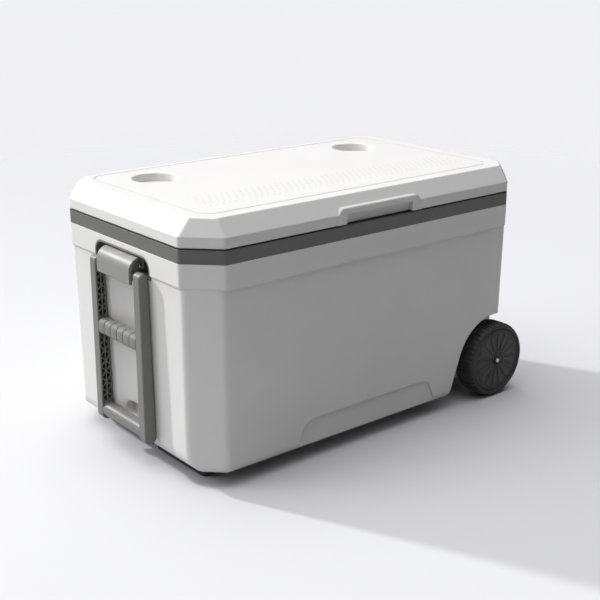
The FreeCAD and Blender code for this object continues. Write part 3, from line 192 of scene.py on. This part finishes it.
for side, out in (("front", -1), ("rear", 1)):
    low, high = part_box("skid_foot_" + side)
    middle, size = (low + high) / 2, high - low
    bm = bmesh.new()
    place = Matrix.Translation(middle) @ Matrix.Diagonal((*size, 1))
    bmesh.ops.create_cube(bm, size=1.0, matrix=place)
    for vert in bm.verts:
        if vert.co.z < middle.z and (vert.co.y - middle.y) * out > 0:
            vert.co.y -= out * FOOT_SLANT
    upright = [e for e in bm.edges if abs(e.verts[0].co.z - e.verts[1].co.z) > size.z / 2]
    bmesh.ops.bevel(bm, geom=upright, offset=FOOT_CORNER, segments=5, profile=0.5, affect="EDGES",
                    material=-1)
    lowest = [e for e in bm.edges if all(v.co.z < low.z + 0.1 * MM for v in e.verts)]
    bmesh.ops.bevel(bm, geom=lowest, offset=FOOT_EDGE, segments=3, profile=0.5, affect="EDGES", material=-1)
    sole = [face for face in bm.faces if face.normal.z < -0.99]
    bmesh.ops.inset_region(bm, faces=sole, thickness=SOLE_RIM, depth=0.0)
    bmesh.ops.inset_region(bm, faces=sole, thickness=SOLE_WALL, depth=-SOLE_DEPTH)
    piece("skid_foot_" + side + "_moulded", bm, foot_rubber, "tub", ["skid_foot_" + side])

# ---------------------------------------------------------------- axle and fasteners
# A plain drawn rod of steel lies in a groove across the underside, and spring caps hold the wheels on it.
# Screws and pins are zinc-plated steel, turned or cold-headed.


def plated_steel(name, colour, roughness):
    """Drawn steel under a thin plating: fine scratches along the rod blur its highlights."""
    material = blank_material(name)
    tree = material.node_tree
    place = put(tree, "TexCoord").outputs["Object"]
    along = put(tree, "Mapping", {"Vector": place, "Scale": (1.0, 0.12, 1.0)})
    scratches = put(tree, "TexNoise", {"Vector": along.outputs["Vector"], "Scale": 1 / (0.8 * MM),
                                       "Detail": 3.0})
    gloss = put(tree, "MapRange", {"Value": scratches.outputs["Fac"],
                                   "To Min": roughness - 0.08, "To Max": roughness + 0.1})
    bump = put(tree, "Bump", {"Height": scratches.outputs["Fac"], "Distance": 0.01 * MM})
    shader = put(tree, "BsdfPrincipled", {
        "Base Color": linear(colour), "Metallic": 1.0, "Roughness": gloss.outputs["Result"],
        "Normal": bump.outputs["Normal"]})
    put(tree, "OutputMaterial", {"Surface": shader.outputs["BSDF"]})
    return material


# Bright zinc plating on mild steel: pale, slightly cool grey.
zinc_steel = plated_steel("zinc_plated_steel", "#cfd0d0", 0.3)
# Blackened spring steel, oiled: nearly black with a dull sheen.
black_steel = plated_steel("blackened_spring_steel", "#2c2c2d", 0.45)
finish(zinc_steel, "axle", "hinge_pin_left", "hinge_pin_right", "hinge_body_screws", "hinge_lid_screws",
       "hood_screws", "tow_pivot_pin_front", "tow_pivot_pin_rear", "tow_pin_clips", "tow_screws",
       "clamp_screws", "foot_screws")
finish(black_steel, "push_nut_front", "push_nut_rear")

# ---------------------------------------------------------------- wheels
# Each wheel is a spoked hub of black polypropylene, pressed into a blow-moulded tyre of harder plastic that
# has two rows of staggered tread blocks.


def spun(bm, profile, centre, steps):
    """Closed ring about the wheel axis from (radius, y) points; returns its faces."""
    ring = [bm.verts.new((centre.x, y, centre.z + radius)) for radius, y in profile]
    edges = [bm.edges.new((a, b)) for a, b in zip(ring, ring[1:] + ring[:1])]
    before = set(bm.faces)
    bmesh.ops.spin(bm, geom=ring + edges, cent=(centre.x, 0, centre.z), axis=(0, 1, 0),
                   angle=2 * math.pi, steps=steps, use_merge=True)
    return [face for face in bm.faces if face not in before]


def place_on_wheel(patch, centre, steps):
    """How far a face's middle lies from the wheel's axis, its y, and its turn counted in ring steps."""
    middle = patch.calc_center_median()
    turn = math.atan2(middle.z - centre.z, middle.x - centre.x) / (2 * math.pi) * steps
    return math.hypot(middle.x - centre.x, middle.z - centre.z), middle.y, turn


LUGS = 46
LUG_STEPS = 3                 # ring steps per lug: two carry the block, one is the gap
STAGGER = 1.5                 # steps by which the inner row of lugs is turned
LUG_HEIGHT = 1.6 * MM
LUG_SLOPE = 0.5 * MM
LUG_RISE = 0.93 * LUG_HEIGHT  # a block's top stays just inside the tyre's full radius
LUG_FROM, LUG_TO = 1.6 * MM, 20.5 * MM    # a row's place in from the tyre's side
LUG_REACH = 4.6 * MM          # how far a lug runs down the shoulder
SIDEWALL = 14 * MM
SPOKES = 16
SPOKE_STEPS = 6               # ring steps per spoke: half are the spoke, half the hollow beside it
HOLLOW_FROM, HOLLOW_TO = 20 * MM, 50 * MM
HOLLOW_SLOPE = 0.9 * MM
HOLLOW_DEPTH = 1.8 * MM
HUB_SET_BACK = 2.5 * MM
HUB_SHELL = 11.6 * MM         # depth at which the hub's web ends, seen from behind

# Tyre plastic: matte, near black, faintly blotched by handling.
tyre_plastic = moulded_plastic("matte_tyre_plastic", ("#3c3c3c", "#343434"), 0.6, 1.1 * MM, 0.06 * MM)
# Hub plastic: the same black, moulded a little smoother.
hub_plastic = moulded_plastic("satin_polypropylene_black", ("#404040", "#383838"), 0.48,
                              SATIN_GRAIN, SATIN_RELIEF)
finish(hub_plastic, "axle_spacer_front", "axle_spacer_rear")

for side, out in (("front", -1), ("rear", 1)):
    low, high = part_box("tyre_" + side)
    centre, radius, width = (low + high) / 2, (high.z - low.z) / 2, high.y - low.y
    face = low.y if out < 0 else high.y
    rim = radius - SIDEWALL
    tread = radius - LUG_HEIGHT
    # the tyre's half section, as radii and millimetres in from its side
    wall = [(rim, 4.0), (rim + 1.2 * MM, 3.6), (rim + 2.4 * MM, 1.2), (rim + 4.0 * MM, 0.2),
            (tread - 6.0 * MM, 0.2), (tread - 3.4 * MM, 1.6), (tread - 1.2 * MM, 5.0), (tread, 9.5),
            (tread, 20.5)]
    profile = [(r, face - out * depth * MM) for r, depth in wall]
    profile += [(r, face - out * (width - depth * MM)) for r, depth in reversed(wall)]
    bm = bmesh.new()
    spun(bm, profile, centre, LUGS * LUG_STEPS)
    blocks = []
    for patch in bm.faces:
        reach, y, turn = place_on_wheel(patch, centre, LUGS * LUG_STEPS)
        depth = abs(y - face)
        stagger = 0 if depth < width / 2 else STAGGER
        on_block = (turn + stagger) % LUG_STEPS < 2
        if on_block and LUG_FROM < min(depth, width - depth) < LUG_TO and reach > tread - LUG_REACH:
            blocks.append(patch)
    bmesh.ops.inset_region(bm, faces=blocks, thickness=LUG_SLOPE, depth=LUG_RISE, use_even_offset=True)
    piece("tyre_" + side + "_treaded", bm, tyre_plastic, "wheel_" + side, ["tyre_" + side])

    flat, back, web = HUB_SET_BACK, width - HUB_SET_BACK, HUB_SHELL
    # the hub's section, as radii in millimetres and distances in from the tyre's side
    disc = [(7.2, flat + 1.2 * MM), (11.4, flat + 1.2 * MM), (12.0, flat), (13.6, flat),
            (14.2, flat + 0.7 * MM), (15.4, flat + 0.7 * MM), (16.0, flat), (17.5, flat), (53.5, flat),
            (56.2, flat), (56.8, flat + 0.9 * MM), (57.8, flat + 0.9 * MM), (58.4, flat), (61.0, flat),
            (61.8, flat + 0.6 * MM), (62.0, flat + 1.6 * MM), (62.0, back), (55.0, back), (54.0, web),
            (14.0, web), (13.0, back), (7.2, back)]
    bm = bmesh.new()
    spun(bm, [(r * MM, face - out * depth) for r, depth in disc], centre, SPOKES * SPOKE_STEPS)
    hollows = []
    for patch in bm.faces:
        reach, y, turn = place_on_wheel(patch, centre, SPOKES * SPOKE_STEPS)
        on_disc = abs(y - (face - out * flat)) < 0.1 * MM and HOLLOW_FROM < reach < HOLLOW_TO
        if on_disc and turn % SPOKE_STEPS > SPOKE_STEPS / 2:
            hollows.append(patch)
    bmesh.ops.inset_region(bm, faces=hollows, thickness=HOLLOW_SLOPE, depth=-HOLLOW_DEPTH,
                           use_even_offset=True)
    piece("wheel_hub_" + side + "_spoked", bm, hub_plastic, "wheel_" + side,
          ["wheel_hub_" + side])

# Acetal bushes, pressed into the hubs: ivory and slippery smooth.
bush_plastic = moulded_plastic("acetal_bush", ("#dcd9cf", "#d4d1c6"), 0.3, 4 * MM, 0.02 * MM)
finish(bush_plastic, "wheel_bush_front", "wheel_bush_rear")

# ---------------------------------------------------------------- lid
# The lid is a white polyethylene moulding like the tub, with two cup holders, a grip at the front and a
# shallow plug below. A soft gasket ring sits in the seam. Its top carries a panel of small raised marks,
# moulded in one with it.

# Soft rubber: dull black with a bloom.
gasket_rubber = pored("soft_gasket_rubber", ("#2a2a2a", "#202020"), 0.9 * MM, 0.05 * MM, 0.7)
finish(gasket_rubber, "lid_gasket", "drain_seal")

lid_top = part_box("lid_shell")[1]
PANEL_X = lid_top.x - 75 * MM
PANEL_FRONT, PANEL_BACK = -143 * MM, -57 * MM
PANEL_CORNER = 12 * MM
PANEL_EDGE = 18 * MM          # from the panel's ends to the first mark
MARK_PITCH = 13 * MM
MARK_HEIGHT = 0.4 * MM
MARK_SINK = 0.1 * MM          # how far a mark reaches into the lid
MARK_TAPER = 0.8              # a mark's top over its foot
TICK_WIDTH, TICK_LENGTH = 1.2 * MM, 3 * MM
TRIANGLE = 3.6 * MM
DOT = 2.4 * MM
LINE_WIDTH = 1.2 * MM

# The marks and the panel's outline are painted a grey a little darker than the white round them: painted
# shade, standing in for the shade their low relief throws.
mark_plastic = moulded_plastic("painted_shade_polyethylene_marks", ("#c6c6c4", "#bcbcba"), 0.5,
                               SATIN_GRAIN, SATIN_RELIEF, edge=0.2 * MM)


def raised_mark(bm, x, y, length, width, sides, turn=0.0):
    """A low flat-topped boss on the lid: a tick with four sides, or a triangle or dot."""
    square = sides == 4
    size = Matrix.Diagonal((length, width, 1, 1)) @ Matrix.Rotation(math.pi / 4 if square else 0, 4, "Z")
    middle = Matrix.Translation((x, y, lid_top.z + MARK_HEIGHT / 2 - MARK_SINK))
    radius = math.sqrt(0.5) if square else 0.5
    bmesh.ops.create_cone(bm, cap_ends=True, segments=sides, radius1=radius, radius2=radius * MARK_TAPER,
                          depth=MARK_HEIGHT, matrix=middle @ Matrix.Rotation(turn, 4, "Z") @ size)


bm = bmesh.new()
corners = [bm.verts.new((x, y, lid_top.z - MARK_SINK)) for x, y in
           ((-PANEL_X, PANEL_FRONT), (PANEL_X, PANEL_FRONT), (PANEL_X, PANEL_BACK), (-PANEL_X, PANEL_BACK))]
bm.faces.new(corners)
bmesh.ops.bevel(bm, geom=corners, offset=PANEL_CORNER, segments=8, profile=0.5, affect="VERTICES",
                material=-1)
outline = bmesh.ops.inset_region(bm, faces=bm.faces[:], thickness=LINE_WIDTH, use_even_offset=True)
inner = [face for face in bm.faces if face not in outline["faces"]]
bmesh.ops.delete(bm, geom=inner, context="FACES")
lifted = bmesh.ops.extrude_face_region(bm, geom=bm.faces[:])
bmesh.ops.translate(bm, verts=[v for v in lifted["geom"] if isinstance(v, bmesh.types.BMVert)],
                    vec=(0, 0, MARK_HEIGHT))
columns = int((PANEL_X - PANEL_EDGE) / MARK_PITCH)
for column in range(-columns, columns + 1):
    x = column * MARK_PITCH
    between = x + MARK_PITCH / 2
    raised_mark(bm, x, PANEL_BACK - 10 * MM, TICK_WIDTH, TICK_LENGTH, 4)
    raised_mark(bm, between, PANEL_BACK - 22 * MM, TRIANGLE, TRIANGLE, 3, math.pi / 2)
    raised_mark(bm, x, PANEL_BACK - 34 * MM, DOT, DOT, 8)
    raised_mark(bm, between, PANEL_BACK - 46 * MM, TRIANGLE, TRIANGLE, 3, -math.pi / 2)
    raised_mark(bm, x, PANEL_BACK - 58 * MM, DOT, DOT, 8)
    raised_mark(bm, x, PANEL_FRONT + 12 * MM, TICK_WIDTH, TICK_LENGTH, 4)
piece("lid_measuring_panel", bm, mark_plastic, "lid", [])

# ---------------------------------------------------------------- hinges
# Two leaf hinges of dark grey glass-filled nylon are moulded in two halves and screwed to the back, one half
# to the tub and one to the lid. A steel pin runs through each.

# Glass-filled nylon: matte, with a coarser grain from the fibres.
hinge_nylon = moulded_plastic("glass_filled_nylon", ("#5e5e5d", "#555554"), 0.5, 0.8 * MM, 0.05 * MM)
finish(hinge_nylon, "hinge_body_leaf_left", "hinge_body_leaf_right", "hinge_lid_leaf_left",
       "hinge_lid_leaf_right")

# ---------------------------------------------------------------- pocket bracket and carry hood
# A tray lines the pocket in the end wall, and a hooked hood for one hand is screwed through it. Both are grey
# polypropylene, moulded with a fine grain.
HANDLE_RELIEF = 0.04 * MM

# Grey polypropylene of the handles: satin, with a grain a little deeper than the shell's.
handle_plastic = moulded_plastic("grained_polypropylene_grey", ("#7c7c79", "#737371"), 0.45,
                                 SATIN_GRAIN, HANDLE_RELIEF)
# The same plastic painted a shade lighter: painted light, for the hood that stands paler than the arms where
# the light falls on it.
hood_plastic = moulded_plastic("grained_polypropylene_painted_light", ("#92928f", "#898986"), 0.45,
                               SATIN_GRAIN, HANDLE_RELIEF)
finish(handle_plastic, "handle_bracket")
finish(hood_plastic, "carry_hood")

# ---------------------------------------------------------------- tow handle
# Two long arms with an open, ribbed channel inside are joined by a middle bar and an end bar, all moulded in
# the same grey polypropylene. The middle bar wears a sleeve of six rounded pads in a softer plastic.
finish(handle_plastic, "tow_arm_front", "tow_arm_rear", "tow_mid_bar", "tow_end_bar")

PADS = 6
PAD_GAP = 0.9 * MM
PAD_FRONT_ROUND = 8.5 * MM
PAD_BACK_ROUND = 3.0 * MM
PAD_EDGE = 1.1 * MM
CORE_SHRINK = 1.6 * MM        # how much slimmer the sleeve is between its pads

# Soft-touch plastic with a stippled texture, drawn at 1.3 mm.
grip_plastic = pored("stippled_soft_plastic", ("#868683", "#7a7a78"), 1.3 * MM, 0.16 * MM, 0.62)
grip_low, grip_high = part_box("tow_mid_grip")


def grip_block(bm, near, far, shrink):
    """Bar of the grip's section between two Y places, its front edges well rounded."""
    size = Vector((grip_high.x - grip_low.x - 2 * shrink, far - near, grip_high.z - grip_low.z - 2 * shrink))
    middle = (grip_low + grip_high) / 2
    place = Matrix.Translation((middle.x, (near + far) / 2, middle.z)) @ Matrix.Diagonal((*size, 1))
    made = bmesh.ops.create_cube(bm, size=1.0, matrix=place)
    edges = {edge for vert in made["verts"] for edge in vert.link_edges}
    long_edges = [e for e in edges if abs((e.verts[0].co - e.verts[1].co).y) > size.y / 2]
    front = [e for e in long_edges if e.verts[0].co.x < middle.x]
    back = [e for e in long_edges if e.verts[0].co.x > middle.x]
    for chosen, turn in ((front, PAD_FRONT_ROUND), (back, PAD_BACK_ROUND)):
        bmesh.ops.bevel(bm, geom=chosen, offset=turn - shrink, segments=7, profile=0.5, affect="EDGES",
                        material=-1)


bm = bmesh.new()
pitch = (grip_high.y - grip_low.y) / PADS
for i in range(PADS):
    near = grip_low.y + i * pitch + PAD_GAP / 2
    grip_block(bm, near, near + pitch - PAD_GAP, 0.0)
ends = [e for e in bm.edges if len(e.link_faces) == 2
        and abs(abs(e.link_faces[0].normal.y) - abs(e.link_faces[1].normal.y)) > 0.9]
bmesh.ops.bevel(bm, geom=ends, offset=PAD_EDGE, segments=3, profile=0.5, affect="EDGES", material=-1)
grip_block(bm, grip_low.y + PAD_EDGE, grip_high.y - PAD_EDGE, CORE_SHRINK)
piece("tow_mid_grip_pads", bm, grip_plastic, "tow_handle", ["tow_mid_grip"])

# ---------------------------------------------------------------- drain
# Low in the wheel end a spout passes through the wall, and a nut inside draws it up. A plug of the same grey
# polypropylene, moulded with its finger grip, shuts it on a seal ring.
finish(band_plastic, "drain_spout", "drain_nut", "drain_plug")

# ---------------------------------------------------------------- floor, light and camera
# A pale plain floor fades into the backdrop. A low key light from behind on the left throws the long shadow,
# a softbox lights the handle end, and a broad bright ceiling gives the soft fill.
FLOOR_SIZE = 9.0
FLOOR_TONE = linear("#d2d2d4")
FADE_FROM, FADE_TO = 1.6, 3.6
KEY_FROM = Vector((-0.364, 0.788, 0.50))
KEY_STRENGTH = 2.1
KEY_SPREAD = math.radians(3.0)
CEILING, HORIZON = 3.9, 0.03
CEILING_FOCUS = 6.0           # how tightly the brightness gathers overhead
CEILING_LEAN = Vector((-0.13, 0.13, 1.0)).normalized()
BOUNCE = 0.65                 # share of the floor's light that reaches the object, as over a matte sweep

floor_paint = blank_material("pale_floor")
tree = floor_paint.node_tree
place = put(tree, "TexCoord").outputs["Object"]
away = put(tree, "VectorMath", {0: place}, operation="LENGTH")
fade = put(tree, "MapRange", {"Value": away.outputs["Value"], "From Min": FADE_FROM, "From Max": FADE_TO},
           interpolation_type="SMOOTHSTEP")
ray = put(tree, "LightPath")
lit = put(tree, "Mix", {0: ray.outputs["Is Diffuse Ray"], 6: FLOOR_TONE,
                        7: [BOUNCE * c for c in FLOOR_TONE]}, data_type="RGBA")
paint = put(tree, "BsdfDiffuse", {"Color": lit.outputs[2]})
clear = put(tree, "BsdfTransparent")
surface = put(tree, "MixShader", {0: fade.outputs["Result"], 1: paint.outputs["BSDF"],
                                  2: clear.outputs["BSDF"]})
put(tree, "OutputMaterial", {"Surface": surface.outputs["Shader"]})

bm = bmesh.new()
bmesh.ops.create_grid(bm, x_segments=1, y_segments=1, size=FLOOR_SIZE / 2)
mesh = bpy.data.meshes.new("floor")
bm.to_mesh(mesh)
bm.free()
mesh.materials.append(floor_paint)
floor = bpy.data.objects.new("floor", mesh)
bpy.context.scene.collection.objects.link(floor)
floor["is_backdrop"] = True

# The ceiling is bright overhead and dies away towards the horizon. The camera sees a pale grey backdrop.
world = bpy.data.worlds.new("studio")
bpy.context.scene.world = world
world.use_nodes = True
tree = world.node_tree
tree.nodes.clear()
direction = put(tree, "TexCoord").outputs["Generated"]
towards = put(tree, "VectorMath", {0: direction, 1: CEILING_LEAN}, operation="DOT_PRODUCT")
height = put(tree, "Math", {0: towards.outputs["Value"], 1: 0.0}, operation="MAXIMUM")
arch = put(tree, "Math", {0: height.outputs[0], 1: CEILING_FOCUS}, operation="POWER")
strength = put(tree, "MapRange", {"Value": arch.outputs[0], "To Min": HORIZON, "To Max": CEILING})
sky = put(tree, "Background", {"Color": linear("#fdfdff"), "Strength": strength.outputs["Result"]})
backdrop = put(tree, "Background", {"Color": linear("#f1f1f3"), "Strength": 1.0})
seen = put(tree, "LightPath")
both = put(tree, "MixShader", {0: seen.outputs["Is Camera Ray"], 1: sky.outputs[0], 2: backdrop.outputs[0]})
put(tree, "OutputWorld", {"Surface": both.outputs[0]})


LIT_POINT = Vector((0, 0, 0.2))


def lamp(name, kind, come_from, **settings):
    """A lamp at a place, shining towards the middle of the object."""
    light = bpy.data.lights.new(name, kind)
    for setting, value in settings.items():
        setattr(light, setting, value)
    made = bpy.data.objects.new(name, light)
    made.location = come_from
    made.rotation_euler = (LIT_POINT - Vector(come_from)).to_track_quat("-Z", "Y").to_euler()
    bpy.context.scene.collection.objects.link(made)


lamp("key", "SUN", LIT_POINT + 4 * KEY_FROM, energy=KEY_STRENGTH, angle=KEY_SPREAD)
lamp("softbox", "AREA", (-2.6, 1.3, 1.5), energy=24, size=1.6)

camera = bpy.data.objects.new("camera", bpy.data.cameras.new("camera"))
camera.location = (-1.2964, -1.5982, 0.8829)
camera.rotation_euler = (math.radians(71.876), 0.0, math.radians(-39.194))
camera.data.lens = 67.58
camera.data.sensor_width = 36.0
bpy.context.scene.collection.objects.link(camera)
bpy.context.scene.camera = camera
bpy.context.scene.view_settings.view_transform = "Standard"

low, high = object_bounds()
